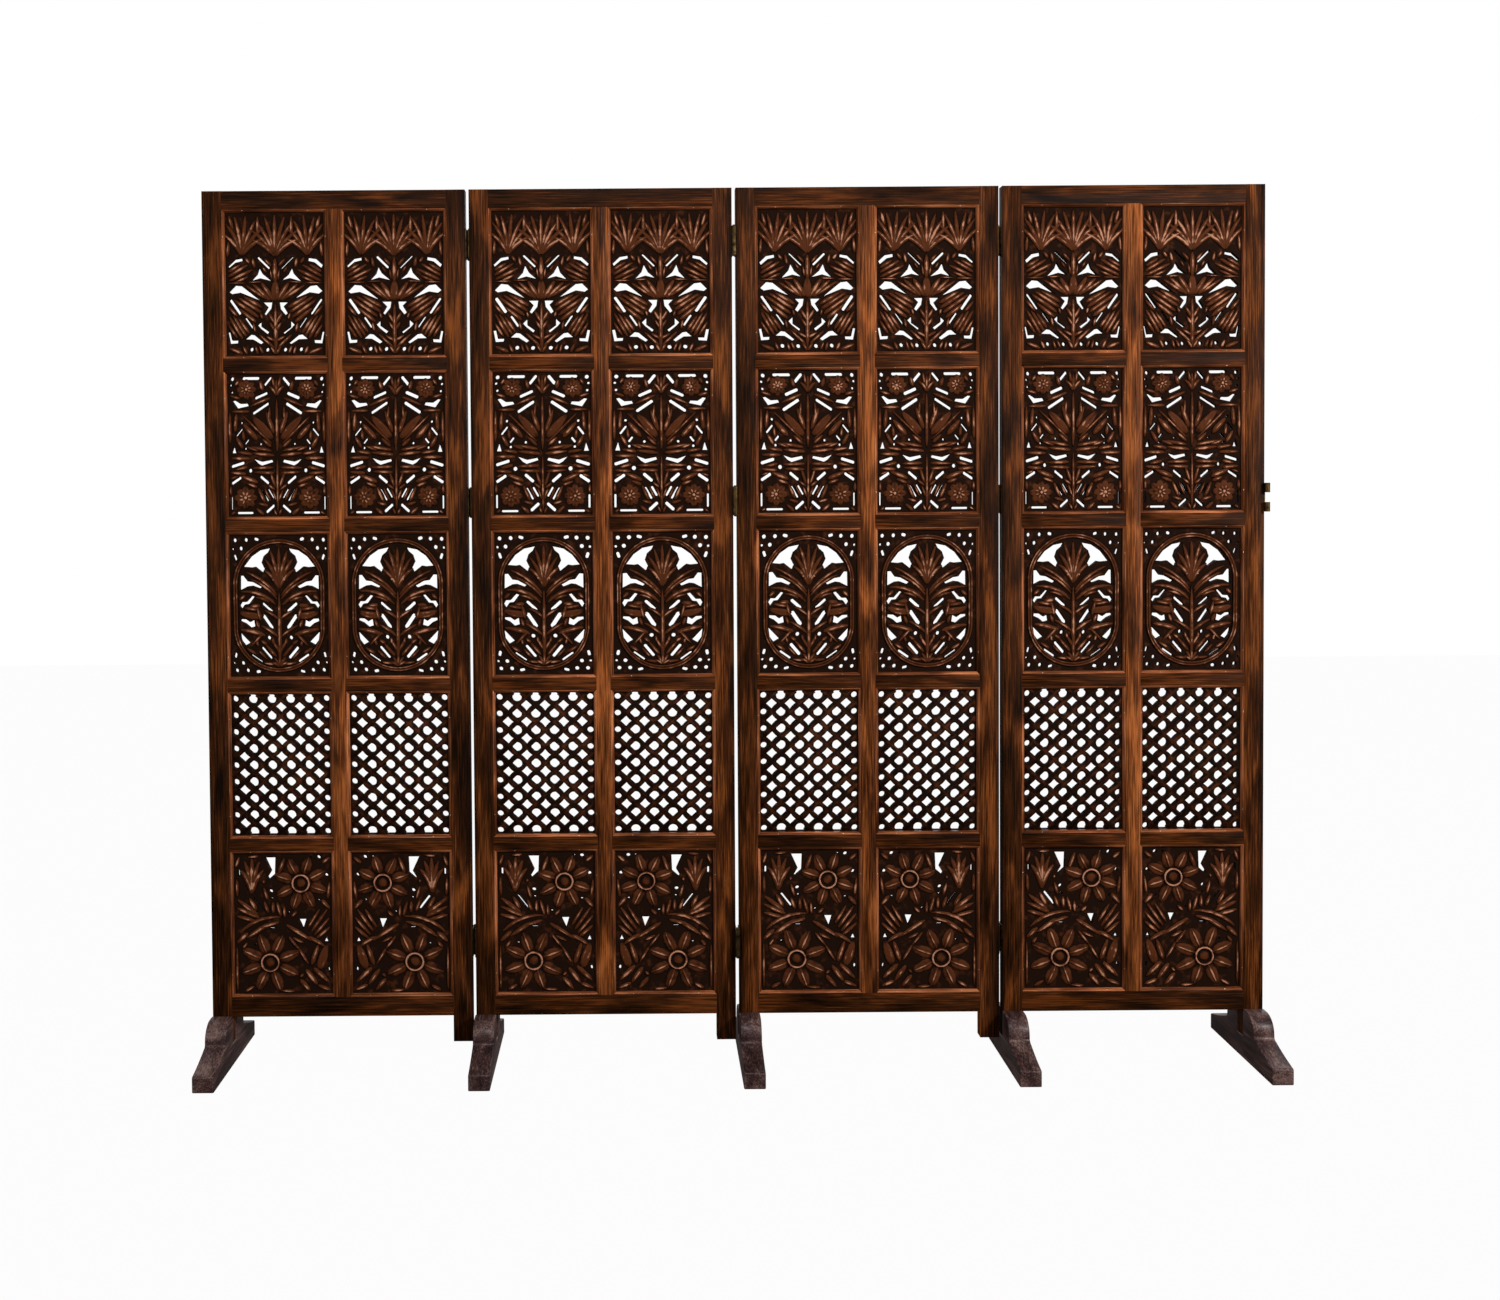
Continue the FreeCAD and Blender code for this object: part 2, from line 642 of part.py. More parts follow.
third = "(hinge_height / 3)"
outer_thirds = [("-hinge_height / 2", f"{third} - knuckle_play / 2"),
                (f"{third} / 2 + knuckle_play / 2", f"{third} - knuckle_play / 2")]
middle_third = [(f"-{third} / 2 + knuckle_play / 2", f"{third} - knuckle_play")]
outer_room = [("-hinge_height / 2 - overrun", f"{third} + knuckle_play / 2 + overrun"),
              (f"{third} / 2 - knuckle_play / 2", f"{third} + knuckle_play / 2 + overrun")]
middle_room = [(f"-{third} / 2 - knuckle_play / 2", f"{third} + knuckle_play")]
left_leaf = hinge_leaf("left_leaf", "left", outer_thirds, middle_room)
right_leaf = hinge_leaf("right_leaf", "right", middle_third, outer_room)
pin = hinge_pin()
wood_screw = screw()
slotted_foot = foot()

upright = None
tipped = Rotation(Vector(1, 0, 0), 180)
backwards = Rotation(Vector(0, 0, 1), 180)
gap_middle = f"({panel_span} + panel_gap / 2)"
nodes = []
for panel in range(panels):
    prefix = f"panel_{panel + 1}_"
    first, last = panel == 0, panel == panels - 1
    nodes.append(node(prefix + "left_stile",
                      [(left_stile if first else left_stile_bored, ("0", "0", "0"), upright)], panel))
    nodes.append(node(prefix + "right_stile",
                      [(end_stile_bored if last else right_stile_bored, ("0", "0", "0"), upright)], panel))
    rails = [(bottom_rail, ("stile_width", "0", leg_base), upright),
             (top_rail, ("stile_width", "0", f"{windows_base} + {windows_span}"), upright)]
    rails += [(short_rail, (cell_left(column), "0", rail_base(level)), upright)
              for level in range(1, rows) for column in range(columns)]
    nodes.append(node(prefix + "rails", rails, panel))
    nodes.append(node(prefix + "mullion",
                      [(middle_bar, ("stile_width + cell_width", "0", windows_base), upright)], panel))
    cell_middles = {(row, column): (f"{cell_left(column)} + cell_width / 2", "0",
                                    f"{cell_base(rows - 1 - row)} + cell_height / 2")
                    for row in range(rows) for column in range(columns)}
    nodes.append(node(prefix + "beads",
                      [(beads, (x, "-tile_thickness / 2 - bead_depth / 2", z), upright)
                       for x, y, z in cell_middles.values()], panel))
    for row, pair in enumerate(tile_rows):
        nodes.append(node(f"{prefix}tiles_row_{row + 1}",
                          [(pair[column], cell_middles[row, column], upright) for column in range(columns)], panel))
    screws = []
    for height in hinge_heights:
        for step in (-1, 0, 1):
            z = f"{height} + {step} * screw_spacing"
            if not first:
                screws.append((wood_screw, ("-leaf_thickness", "0", z), upright))
            if not last or height in spare_heights:
                screws.append((wood_screw, (f"{panel_span} + leaf_thickness", "0", z), backwards))
    nodes.append(node(prefix + "hinge_screws", screws, panel))

for junction in range(panels):
    # the pins stand behind the first junction, before the second, and so on in turn
    behind = junction % 2 == 0
    turn = upright if behind else tipped
    y = pin_offset if behind else f"-{pin_offset}"
    if junction == panels - 1:
        nodes.append(node(f"panel_{panels}_spare_leaf",
                          [(left_leaf, (gap_middle, y, height), turn) for height in spare_heights], junction))
        continue
    places = [(gap_middle, y, height) for height in hinge_heights]
    prefix = f"hinge_{junction + 1}_"
    nodes.append(node(prefix + "left_leaves", [(left_leaf, at, turn) for at in places], junction))
    nodes.append(node(prefix + "right_leaves", [(right_leaf, at, turn) for at in places], junction))
    nodes.append(node(prefix + "pins", [(pin, at, turn) for at in places], junction))

for number in range(panels + 1):
    panel = min(number, panels - 1)
    leg_x = "stile_width / 2" if number < panels else f"({panel_span} - stile_width / 2)"
    nodes.append(node(f"foot_{number + 1}", [(slotted_foot, (leg_x, "0", "0"), upright)], panel))

doc.recompute()
for item in doc.Objects:
    if "Invalid" in item.State or "Error" in item.State:
        raise RuntimeError(f"{item.Name} failed: {item.State}")
for item in nodes:
    if item.Shape.isNull() or not item.Shape.isValid() or item.Shape.Volume <= 0:
        raise RuntimeError(f"{item.Label} has no valid shape")

os.makedirs("parts", exist_ok=True)
for item in nodes:
    item.Shape.exportStep(os.path.join("parts", item.Label + ".step"))
    print(item.Label, len(item.Shape.Solids), "solids")
whole = [item.Shape.BoundBox for item in nodes]
print("width", max(b.XMax for b in whole) - min(b.XMin for b in whole),
      "height", max(b.ZMax for b in whole), "left", min(b.XMin for b in whole))
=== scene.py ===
import json
import math

import bmesh
import bpy
from mathutils import Euler, Matrix, Vector

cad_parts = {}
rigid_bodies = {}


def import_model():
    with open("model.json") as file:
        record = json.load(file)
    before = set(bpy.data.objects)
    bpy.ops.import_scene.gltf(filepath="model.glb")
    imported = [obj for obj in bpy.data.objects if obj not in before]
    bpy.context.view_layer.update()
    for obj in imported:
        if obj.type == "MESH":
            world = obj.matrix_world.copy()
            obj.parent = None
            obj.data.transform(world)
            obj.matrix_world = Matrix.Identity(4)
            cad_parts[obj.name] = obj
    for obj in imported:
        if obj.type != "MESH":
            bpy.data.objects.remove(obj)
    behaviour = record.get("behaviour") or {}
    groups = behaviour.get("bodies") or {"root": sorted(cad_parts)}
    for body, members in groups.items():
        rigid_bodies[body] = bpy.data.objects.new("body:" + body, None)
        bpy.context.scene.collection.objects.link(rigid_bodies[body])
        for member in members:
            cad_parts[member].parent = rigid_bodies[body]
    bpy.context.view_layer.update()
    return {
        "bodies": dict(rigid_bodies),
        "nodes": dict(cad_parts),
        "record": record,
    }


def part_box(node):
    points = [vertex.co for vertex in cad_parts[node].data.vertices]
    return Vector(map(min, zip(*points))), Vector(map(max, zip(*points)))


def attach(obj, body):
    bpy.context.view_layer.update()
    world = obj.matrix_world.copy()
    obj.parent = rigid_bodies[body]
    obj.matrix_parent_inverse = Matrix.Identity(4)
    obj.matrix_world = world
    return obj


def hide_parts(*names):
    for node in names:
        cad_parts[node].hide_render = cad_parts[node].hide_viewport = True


# Carved folding screen, dressed round its frame: walnut-stained frames, pierced and carved
# tiles, rounded beads, brass hinges and long feet. Metres throughout; mm turns a maker's size.
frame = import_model()
mm = 0.001
panelNames = sorted(frame["bodies"])
bpy.context.scene.view_settings.view_transform = "Standard"
print("frame loaded:", len(frame["nodes"]), "nodes")


def srgb(hexCode):
    # sRGB hex to the linear colour that the shader wants
    channels = [int(hexCode[i:i + 2], 16) / 255 for i in (1, 3, 5)]
    return tuple(c / 12.92 if c <= 0.04045 else ((c + 0.055) / 1.055) ** 2.4 for c in channels) + (1,)


def addNode(tree, kind, settings=(), links=()):
    # one shader node, its settings as {socket or property: value} and its links as {input: output}
    node = tree.nodes.new(kind)
    for key, value in dict(settings).items():
        if isinstance(key, str) and hasattr(node, key):
            setattr(node, key, value)
        else:
            node.inputs[key].default_value = value
    for key, output in dict(links).items():
        tree.links.new(output, node.inputs[key])
    return node


def newMaterial(name):
    material = bpy.data.materials.new(name)
    material.use_nodes = True
    material.node_tree.nodes.clear()
    return material, material.node_tree


def finishMaterial(tree, shader):
    addNode(tree, "ShaderNodeOutputMaterial", links={"Surface": shader.outputs[0]})


def colourRamp(tree, value, stops):
    # a value turned into colour; the stops are {position: sRGB hex}
    ramp = addNode(tree, "ShaderNodeValToRGB", links={"Fac": value})
    elements = ramp.color_ramp.elements
    positions = sorted(stops)
    elements[0].position, elements[1].position = positions[0], positions[-1]
    for position in positions[1:-1]:
        elements.new(position)
    for element, position in zip(elements, positions):
        element.color = srgb(stops[position])
    return ramp.outputs[0]


def remap(tree, value, toMin, toMax, fromMin=0.0, fromMax=1.0):
    # a value stretched from one range to another, and held inside it
    stretch = addNode(tree, "ShaderNodeMapRange", {
        "From Min": fromMin, "From Max": fromMax, "To Min": toMin, "To Max": toMax}, {"Value": value})
    return stretch.outputs[0]


def calculate(tree, operation, settings, links):
    return addNode(tree, "ShaderNodeMath", {"operation": operation, **settings}, links).outputs[0]


# Woods. Grain runs along one axis of the piece: up for stiles, across for rails, deep for feet.
grainTurns = {"up": (0, 0, 0), "across": (0, math.pi / 2, 0), "deep": (math.pi / 2, 0, 0)}
wood = {
    "grainWidth": 2.6 * mm,
    "grainLength": 90 * mm,
    "figureWidth": 38 * mm,
    "figureLength": 190 * mm,
    "figureShare": 0.45,
    "poreWidth": 0.9 * mm,  # real pores are about 0.2 mm; drawn coarser, so that they show
    "poreLength": 11.25 * mm,
    "poreDepth": 0.3 * mm,
    "poreStrength": 0.25,
    "darkAt": 0.4,
    "midAt": 0.51,
    "lightAt": 0.62,
    "smoother": 0.07,  # taken off and added to a stain's roughness, from streak to streak
    "rougher": 0.1,
    "ior": 1.45,
    "coatRoughness": 0.25,
}


def grain(tree, direction, width, length):
    # the piece's own coordinates, stretched along the grain
    place = addNode(tree, "ShaderNodeTexCoord")
    turn = addNode(tree, "ShaderNodeMapping", {"Rotation": grainTurns[direction]},
                   {"Vector": place.outputs["Object"]})
    squeeze = addNode(tree, "ShaderNodeMapping", {"Scale": (1 / width, 1 / width, 1 / length)},
                      {"Vector": turn.outputs[0]})
    return squeeze.outputs[0]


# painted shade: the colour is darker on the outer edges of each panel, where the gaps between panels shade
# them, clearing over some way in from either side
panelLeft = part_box(f"{panelNames[0]}_left_stile")[0].x
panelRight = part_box(f"{panelNames[0]}_right_stile")[1].x
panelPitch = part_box(f"{panelNames[1]}_left_stile")[0].x - panelLeft
gapShadeBands = {"leftDark": 2 * mm, "leftClear": 9 * mm, "rightDark": 6 * mm, "rightClear": 13 * mm,
             "shade": 0.42}


def paintedGapShade(tree):
    # how much of the colour is left under the painted gap shade, by the distance from the edges of the panel
    place = addNode(tree, "ShaderNodeTexCoord")
    split = addNode(tree, "ShaderNodeSeparateXYZ", links={"Vector": place.outputs["Object"]})
    reach = calculate(tree, "SUBTRACT", {1: panelLeft}, {0: split.outputs["X"]})
    across = calculate(tree, "FLOORED_MODULO", {1: panelPitch}, {0: reach})
    width = panelRight - panelLeft
    fromLeft = remap(tree, across, gapShadeBands["shade"], 1, gapShadeBands["leftDark"], gapShadeBands["leftClear"])
    fromRight = remap(tree, across, gapShadeBands["shade"], 1,
                      width - gapShadeBands["rightDark"], width - gapShadeBands["rightClear"])
    return calculate(tree, "MULTIPLY", {}, {0: fromLeft, 1: fromRight})


def stainedWood(name, direction, stain, gapShaded=False):
    # walnut-stained hardwood: dark streaks along the grain, slow figure, fine pores, satin lacquer
    material, tree = newMaterial(name)
    fine = addNode(tree, "ShaderNodeTexNoise", {"Scale": 1, "Detail": 5, "Roughness": 0.62},
                   {"Vector": grain(tree, direction, wood["grainWidth"], wood["grainLength"])})
    slow = addNode(tree, "ShaderNodeTexNoise", {"Scale": 1, "Detail": 3, "Distortion": 0.6},
                   {"Vector": grain(tree, direction, wood["figureWidth"], wood["figureLength"])})
    streaks = addNode(tree, "ShaderNodeMix", {"data_type": "FLOAT", "Factor": wood["figureShare"]},
                      {"A": fine.outputs[0], "B": slow.outputs[0]})
    colour = colourRamp(tree, streaks.outputs[0], {
        wood["darkAt"]: stain["dark"], wood["midAt"]: stain["mid"], wood["lightAt"]: stain["light"]})
    # painted shade along the panel's outer edges, where the gaps shade them
    if gapShaded:
        colour = addNode(tree, "ShaderNodeVectorMath", {"operation": "SCALE"},
                         {0: colour, "Scale": paintedGapShade(tree)}).outputs[0]
    pores = addNode(tree, "ShaderNodeTexNoise", {"Scale": 1, "Detail": 2},
                    {"Vector": grain(tree, direction, wood["poreWidth"], wood["poreLength"])})
    bump = addNode(tree, "ShaderNodeBump", {"Strength": wood["poreStrength"], "Distance": wood["poreDepth"]},
                   {"Height": pores.outputs[0]})
    shine = remap(tree, fine.outputs[0],
                  stain["roughness"] - wood["smoother"], stain["roughness"] + wood["rougher"])
    lacquer = {"IOR": wood["ior"], "Specular IOR Level": stain["gloss"],
               "Coat Weight": stain["coat"], "Coat Roughness": wood["coatRoughness"]}
    shader = addNode(tree, "ShaderNodeBsdfPrincipled", lacquer,
                     {"Base Color": colour, "Roughness": shine, "Normal": bump.outputs[0]})
    finishMaterial(tree, shader)
    return material


stains = {
    "stile": {"dark": "#0e0501", "mid": "#331808", "light": "#6b3917",
              "roughness": 0.5, "gloss": 0.03, "coat": 0.0},
    "paintedShadeStile": {"dark": "#0c0401", "mid": "#2f1606", "light": "#613214",
                    "roughness": 0.5, "gloss": 0.03, "coat": 0.0},
    "rail": {"dark": "#0c0401", "mid": "#2a1305", "light": "#572b0f",
             "roughness": 0.5, "gloss": 0.03, "coat": 0.0},
    "mullion": {"dark": "#190a03", "mid": "#4f2810", "light": "#8e4f25",
                "roughness": 0.46, "gloss": 0.04, "coat": 0.0},
    "bead": {"dark": "#341708", "mid": "#65361d", "light": "#a0603c",
             "roughness": 0.42, "gloss": 0.08, "coat": 0.02},
    "foot": {"dark": "#1a0f0f", "mid": "#382725", "light": "#66504a",
             "roughness": 0.36, "gloss": 0.1, "coat": 0.04},
}
stileWood = stainedWood("walnutStainUpright", "up", stains["stile"], gapShaded=True)
# the left stiles' copy of the stile stain, darkened as painted shade
paintedShadeStileWood = stainedWood("walnutStainPaintedShade", "up", stains["paintedShadeStile"], gapShaded=True)
railWood = stainedWood("walnutStainAcross", "across", stains["rail"])
mullionWood = stainedWood("walnutStainPaler", "up", stains["mullion"])
beadUpright = stainedWood("beadStainUpright", "up", stains["bead"])
beadAcross = stainedWood("beadStainAcross", "across", stains["bead"])
footWood = stainedWood("footStain", "deep", stains["foot"])

# The carving's colour follows its relief, dark in the ground (stain and painted shade) and pale on the ridges
# (wear and painted highlight): ground and ridge are depths from the tile's middle plane.
carving = {
    "ground": 6.2 * mm, "ridge": 10.8 * mm,
    "deep": "#160a05", "stain": "#42210f", "rubbed": "#9a6c54",
    "deepAt": 0.1, "stainFrom": 0.45, "stainTo": 0.78, "rubbedAt": 1.0,
    "patch": 15 * mm, "patchGain": 1.1, "patchShift": -0.52,
    "grainLength": 30 * mm, "darkStreak": 0.72, "paleStreak": 1.25,
    "paintedCreviceShade": 7 * mm, "creviceShut": 0.25, "creviceOpen": 0.9, "creviceShade": 0.1,
    "gouge": 3 * mm, "gougeDepth": 0.8 * mm, "gougeStrength": 0.6,
    "dullness": 0.85, "polish": 0.42, "gloss": 0.03,
}


def carvedWood(name):
    # nearly black in the ground, partly stain and partly painted shade, with painted shade in the crevices;
    # paler on the ridges, partly wear and partly painted highlight
    material, tree = newMaterial(name)
    place = addNode(tree, "ShaderNodeTexCoord").outputs["Object"]
    split = addNode(tree, "ShaderNodeSeparateXYZ", links={"Vector": place})
    depth = calculate(tree, "ABSOLUTE", {}, {0: split.outputs["Y"]})
    height = remap(tree, depth, 0, 1, carving["ground"], carving["ridge"])
    patches = addNode(tree, "ShaderNodeTexNoise", {"Scale": 1 / carving["patch"], "Detail": 3},
                      {"Vector": place})
    stir = calculate(tree, "MULTIPLY_ADD", {1: carving["patchGain"], 2: carving["patchShift"]},
                     {0: patches.outputs[0]})
    wearAndLightByHeight = calculate(tree, "ADD", {}, {0: height, 1: stir})
    # dark ground and pale ridges: stain and wear, with painted shade low down and painted highlight on the
    # crests
    colour = colourRamp(tree, wearAndLightByHeight, {
        carving["deepAt"]: carving["deep"], carving["stainFrom"]: carving["stain"],
        carving["stainTo"]: carving["stain"], carving["rubbedAt"]: carving["rubbed"]})
    fine = addNode(tree, "ShaderNodeTexNoise", {"Scale": 1, "Detail": 4, "Roughness": 0.6},
                   {"Vector": grain(tree, "up", wood["grainWidth"], carving["grainLength"])})
    streak = remap(tree, fine.outputs[0], carving["darkStreak"], carving["paleStreak"])
    # painted shade: ambient occlusion darkens the colour in the crevices between the blades
    paintedCreviceShade = addNode(tree, "ShaderNodeAmbientOcclusion",
                      {"samples": 6, "only_local": True, "Distance": carving["paintedCreviceShade"]})
    clear = remap(tree, paintedCreviceShade.outputs["AO"], carving["creviceShade"], 1,
                  carving["creviceShut"], carving["creviceOpen"])
    tone = calculate(tree, "MULTIPLY", {}, {0: streak, 1: clear})
    tint = addNode(tree, "ShaderNodeVectorMath", {"operation": "SCALE"}, {0: colour, "Scale": tone})
    gouge = addNode(tree, "ShaderNodeTexNoise", {"Scale": 1 / carving["gouge"], "Detail": 3},
                    {"Vector": place})
    bump = addNode(tree, "ShaderNodeBump",
                   {"Strength": carving["gougeStrength"], "Distance": carving["gougeDepth"]},
                   {"Height": gouge.outputs[0]})
    shine = remap(tree, wearAndLightByHeight, carving["dullness"], carving["polish"])
    shader = addNode(tree, "ShaderNodeBsdfPrincipled",
                     {"IOR": wood["ior"], "Specular IOR Level": carving["gloss"]},
                     {"Base Color": tint.outputs[0], "Roughness": shine, "Normal": bump.outputs[0]})
    finishMaterial(tree, shader)
    return material


tileWood = carvedWood("carvedStain")

brass = {"cloud": 9 * mm, "dullAt": 0.35, "rubbedAt": 0.7, "dullness": 0.6, "polish": 0.4,
         "hinge": ("#191208", "#453620"), "screw": ("#4a3a20", "#8f7544")}
steel = {"colour": "#b9a490", "roughness": 0.35}


def agedBrass(name, dull, rubbed):
    # brass gone dark, a little brighter where hands rub it
    material, tree = newMaterial(name)
    place = addNode(tree, "ShaderNodeTexCoord")
    cloud = addNode(tree, "ShaderNodeTexNoise", {"Scale": 1 / brass["cloud"], "Detail": 5},
                    {"Vector": place.outputs["Object"]})
    colour = colourRamp(tree, cloud.outputs[0], {brass["dullAt"]: dull, brass["rubbedAt"]: rubbed})
    shine = remap(tree, cloud.outputs[0], brass["dullness"], brass["polish"])
    shader = addNode(tree, "ShaderNodeBsdfPrincipled", {"Metallic": 1.0},
                     {"Base Color": colour, "Roughness": shine})
    finishMaterial(tree, shader)
    return material


hingeBrass = agedBrass("blackenedBrass", *brass["hinge"])
screwBrass = agedBrass("dullBrass", *brass["screw"])
nailSteel, nailTree = newMaterial("nailSteel")
finishMaterial(nailTree, addNode(nailTree, "ShaderNodeBsdfPrincipled", {
    "Base Color": srgb(steel["colour"]), "Metallic": 1.0, "Roughness": steel["roughness"]}))
print("materials made")


def addObject(name, bm, materials, body):
    bmesh.ops.recalc_face_normals(bm, faces=bm.faces)
    mesh = bpy.data.meshes.new(name)
    for face in bm.faces:
        face.smooth = True
    bm.to_mesh(mesh)
    bm.free()
    for material in materials:
        mesh.materials.append(material)
    piece = bpy.data.objects.new(name, mesh)
    bpy.context.scene.collection.objects.link(piece)
    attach(piece, body)
    return piece


easedEdges = {"stile": 1.4 * mm, "rail": 1.0 * mm, "mullion": 1.2 * mm, "foot": 2.2 * mm, "plate": 1.2 * mm}
sharpAngle = math.radians(35)
flatAngle = math.radians(0.5)
weldGap = 0.01 * mm


def copyOfNode(nodeName):
    # the node's solid as one clean mesh, its flat faces whole again
    bm = bmesh.new()
    bm.from_mesh(frame["nodes"][nodeName].data)
    bmesh.ops.remove_doubles(bm, verts=bm.verts, dist=weldGap)
    bmesh.ops.dissolve_limit(bm, angle_limit=flatAngle, verts=bm.verts, edges=bm.edges)
    return bm


def bodyOf(nodeName):
    return next(body for body, nodes in frame["record"]["behaviour"]["bodies"].items() if nodeName in nodes)


def ease(piece, width, segments):
    # softened arrises, as sanding leaves them
    rounding = piece.modifiers.new("easedEdges", "BEVEL")
    rounding.width = width
    rounding.segments = segments
    rounding.limit_method = "ANGLE"
    rounding.angle_limit = sharpAngle
    rounding.harden_normals = True


def easedNode(nodeName, material, width, segments=2):
    piece = addObject(nodeName + "_eased", copyOfNode(nodeName), [material], bodyOf(nodeName))
    ease(piece, width, segments)
    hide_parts(nodeName)


# Frame members
for panel in panelNames:
    # left stiles take the stain darkened as painted shade, right stiles the plain one
    easedNode(f"{panel}_left_stile", paintedShadeStileWood, easedEdges["stile"])
    easedNode(f"{panel}_right_stile", stileWood, easedEdges["stile"])
    easedNode(f"{panel}_mullion", mullionWood, easedEdges["mullion"])
    easedNode(f"{panel}_rails", railWood, easedEdges["rail"])
for nodeName in sorted(frame["nodes"]):
    if nodeName.startswith("foot_"):
        easedNode(nodeName, footWood, easedEdges["foot"], 3)
print("frame members eased")


def dressBeads(panel):
    # every strip takes the grain of its own length
    nodeName = f"{panel}_beads"
    bm = copyOfNode(nodeName)
    for face in bm.faces:
        box = [v.co for v in face.verts]
        tall = max(c.z for c in box) - min(c.z for c in box)
        wide = max(c.x for c in box) - min(c.x for c in box)
        face.material_index = 0 if tall > wide else 1
    piece = addObject(nodeName + "_dressed", bm, [beadUpright, beadAcross], panel)
    piece.data.shade_smooth()  # the round of a bead shades as one curve
    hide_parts(nodeName)


for panel in panelNames:
    dressBeads(panel)
print("beads dressed")

# Hinges keep their solids, in brass
for nodeName, node in frame["nodes"].items():
    if "hinge" in nodeName or "leaf" in nodeName:
        node.data.materials.clear()
        node.data.materials.append(screwBrass if "screws" in nodeName else hingeBrass)
print("hinges dressed")

# Carved tiles. A design is drawn in shares of the tile's visible face: across from its middle
# line, down from its top; widths, radii and bows in mm. Halves are mirrored on the middle line.
# The step is from the middle of a left tile to the middle of the right tile beside it.
tileFace = {"width": 206 * mm, "height": 297 * mm, "step": 248 * mm, "ground": 6 * mm,
            "sunk": 0.8 * mm, "margin": 0.4 * mm}


def facePoint(u, v):
    return Vector((u * tileFace["width"], 0, (0.5 - v) * tileFace["height"]))


def aimed(angle):
    return Vector((math.cos(angle), 0, math.sin(angle)))


def sideOf(along):
    return Vector((along.z, 0, -along.x)).normalized()


def settle(place, out, rise):
    # keeps a point of the carving on the tile's face, and its underside just inside the ground
    limitX = tileFace["width"] / 2 - tileFace["margin"]
    limitZ = tileFace["height"] / 2 - tileFace["margin"]
    return Vector((max(-limitX, min(limitX, place.x)),
                   -tileFace["ground"] - (out * rise if out > 0 else out * tileFace["sunk"]),
                   max(-limitZ, min(limitZ, place.z))))


bladeForm = {"around": 8, "wideAround": 12, "wide": 15 * mm, "rings": 7, "tipNarrowing": 0.35,
             "trueWidthAt": 0.4, "veinWidth": 0.35, "vein": 0.5, "crest": 0.5}


def addBlade(bm, start, end, width, rise, bow=0.0):
    # one carved leaf blade, crowned, from its base to its narrower tip; wide ones have a vein
    wide = width > bladeForm["wide"]
    made = bmesh.ops.create_uvsphere(bm, u_segments=bladeForm["wideAround" if wide else "around"],
                                     v_segments=bladeForm["rings"], radius=1)
    along = end - start
    side = sideOf(along)
    for vert in made["verts"]:
        across, out, step = vert.co.x, vert.co.y, (vert.co.z + 1) / 2
        half = width / 2 * across * (1 - bladeForm["tipNarrowing"] * (step - bladeForm["trueWidthAt"]))
        bowed = bow * 4 * step * (1 - step)  # all of it at mid length
        if wide:
            out *= 1 - bladeForm["vein"] * math.exp(-(across / bladeForm["veinWidth"]) ** 2)
        elif out > 0:
            out *= 1 - bladeForm["crest"] * abs(across)
        vert.co = settle(start + along * step + side * (half + bowed), out, rise)


fanForm = {"droop": 0.25, "bow": 0.10, "lower": 0.15}


def addFan(bm, at, aim, spread, count, reach, width, rise, droop=fanForm["droop"]):
    # a palmette: blades from one point, the outer ones shorter and bowed outwards, every second lower
    for number in range(count):
        share = number / (count - 1) * 2 - 1
        angle = math.radians(aim - share * spread / 2)
        length = reach * (1 - droop * share * share)
        start = facePoint(*at)
        addBlade(bm, start, start + aimed(angle) * length, width,
                 rise * (1 - fanForm["lower"] * (number % 2)), bow=-share * length * fanForm["bow"])


domeForm = {"around": 12, "rings": 6}
ringForm = {"around": 24, "section": 8}


def addDome(bm, at, radius, rise):
    made = bmesh.ops.create_uvsphere(bm, u_segments=domeForm["around"], v_segments=domeForm["rings"],
                                     radius=1)
    bmesh.ops.scale(bm, verts=made["verts"], vec=(radius, rise, radius))
    bmesh.ops.translate(bm, verts=made["verts"], vec=facePoint(*at) + Vector((0, -tileFace["ground"], 0)))


def addRing(bm, at, radius, thickness, rise):
    # a half-round ring: one section, spun round its middle
    section = bmesh.ops.create_circle(bm, segments=ringForm["section"], radius=1)["verts"]
    edges = list({edge for vert in section for edge in vert.link_edges})
    middle = facePoint(*at)
    for vert in section:
        out = max(vert.co.y * rise, -tileFace["sunk"])
        vert.co = middle + Vector((radius + vert.co.x * thickness / 2, -tileFace["ground"] - out, 0))
    bmesh.ops.spin(bm, geom=section + edges, cent=middle, axis=(0, 1, 0), angle=math.tau,
                   steps=ringForm["around"], use_merge=True)


# a rose's whorls of petals, outer and inner: reach, lift and turn; the rest in shares of its radius
roseForm = {"whorls": ((1.0, 0.7, 0), (0.62, 1.0, 0.5)), "hollow": 0.1, "petal": 0.72,
            "button": 0.2, "buttonLift": 1.1}


def addRose(bm, at, radius, count, rise):
    middle = facePoint(*at)
    for reach, lift, turn in roseForm["whorls"]:
        for number in range(count):
            aim = aimed(math.tau * (number + turn) / count)
            addBlade(bm, middle + aim * radius * roseForm["hollow"], middle + aim * radius * reach,
                     radius * reach * roseForm["petal"], rise * lift)
    addDome(bm, at, radius * roseForm["button"], rise * roseForm["buttonLift"])


# a daisy's sizes in shares of the radius of its ringed eye, its lifts in shares of the rise
daisyForm = {"ring": 0.3, "ringLift": 1.1, "eye": 0.6, "eyeLift": 0.5, "petalStart": 1.05,
             "petal": 1.45, "petalLift": 0.6, "midrib": 0.46, "midribLift": 1.1}


def addDaisy(bm, at, inner, outer, count, rise, first, side):
    # broad petals, each with a raised midrib, round a ringed eye
    middle = facePoint(*at)
    addRing(bm, at, inner, inner * daisyForm["ring"], rise * daisyForm["ringLift"])
    addDome(bm, at, inner * daisyForm["eye"], rise * daisyForm["eyeLift"])
    for number in range(count):
        aim = aimed(math.tau * number / count + first)
        aim.x *= side
        start, end = middle + aim * inner * daisyForm["petalStart"], middle + aim * outer
        for part in ("petal", "midrib"):
            addBlade(bm, start, end, inner * daisyForm[part], rise * daisyForm[part + "Lift"])


